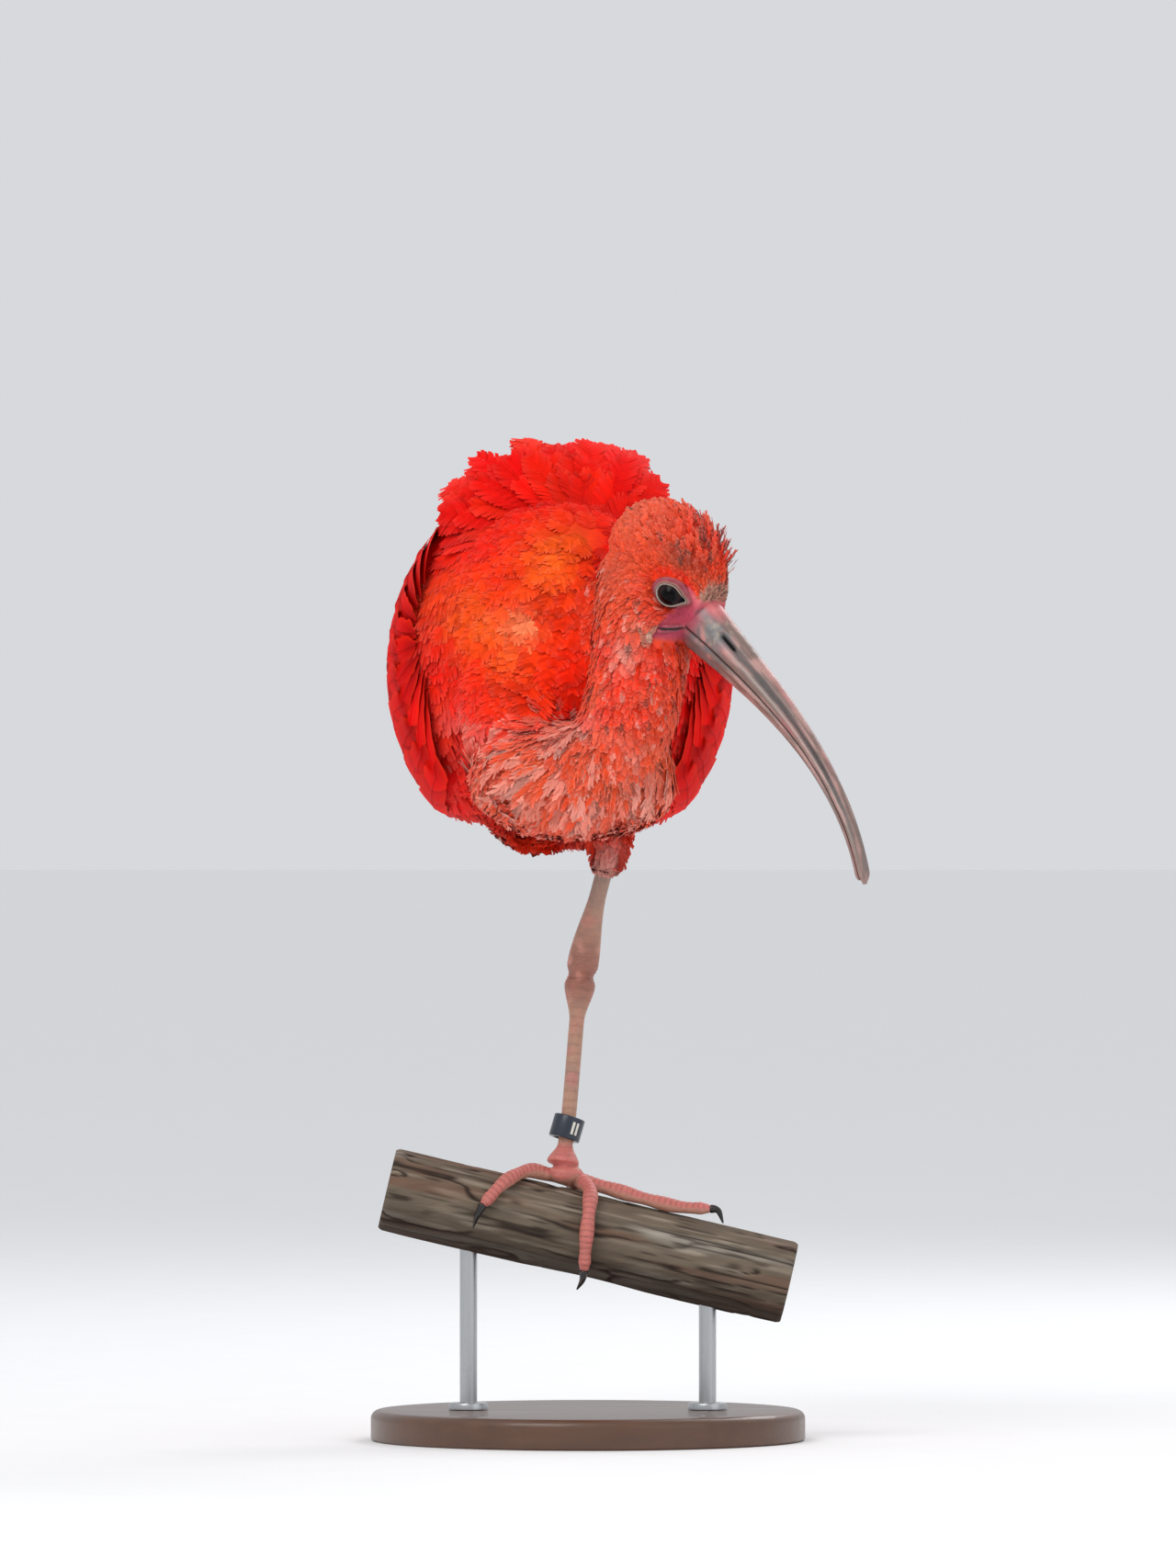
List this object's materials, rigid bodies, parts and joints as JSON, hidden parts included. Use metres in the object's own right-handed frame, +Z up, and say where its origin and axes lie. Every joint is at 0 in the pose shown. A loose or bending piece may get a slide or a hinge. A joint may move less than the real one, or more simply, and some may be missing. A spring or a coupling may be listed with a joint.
{
  "type": "scarlet ibis",
  "caption": "Wading bird at rest on one leg on a short branch, neck folded, head turned aside, long down-curved bill, over a round stand.",
  "frame": {"origin": "middle of the underside of the round base, which rests on the floor", "axes": "+Z up; the bird's breast faces -Y and its tail +Y; +X is the bird's left, the side its bill points to"},
  "size_m": [0.2256, 0.3794, 0.4616],
  "materials": {
    "scarlet_plumage": "soft matt feathers",
    "neck_plumage": "soft matt feathers with dark flecks",
    "wing_plumage": "smooth satin vanes",
    "eye": "wet gloss",
    "bill_horn": "satin horn with fine grooves",
    "leg_skin": "scaly skin",
    "claw_horn": "satin horn",
    "leg_ring": "satin",
    "bark": "rough weathered bark",
    "stand_wood": "satin black stain",
    "stand_steel": "brushed"
  },
  "bodies": {
    "root": {"stand_base": "stand_wood", "stand_rod_left": "stand_steel", "stand_rod_right": "stand_steel", "perch_branch": "bark", "torso": "scarlet_plumage", "thigh_left": "scarlet_plumage", "thigh_right": "scarlet_plumage", "neck_lower": "scarlet_plumage", "neck_fold": "neck_plumage", "neck_upper": "neck_plumage", "head": "neck_plumage", "mantle": "scarlet_plumage", "wing_left": "wing_plumage", "wing_right": "wing_plumage", "tail": "wing_plumage", "eye_left": "eye", "eye_right": "eye", "bill_upper": "bill_horn", "bill_lower": "bill_horn", "tibia_left": "leg_skin", "tibia_right": "leg_skin", "tarsus_left": "leg_skin", "tarsus_right": "leg_skin", "foot_left": "leg_skin", "foot_right": "leg_skin", "leg_band": "leg_ring", "claw_left_middle": "claw_horn", "claw_left_outer": "claw_horn", "claw_left_inner": "claw_horn", "claw_left_hallux": "claw_horn", "claw_right_middle": "claw_horn", "claw_right_outer": "claw_horn", "claw_right_inner": "claw_horn", "claw_right_hallux": "claw_horn"}
  },
  "joints": []
}
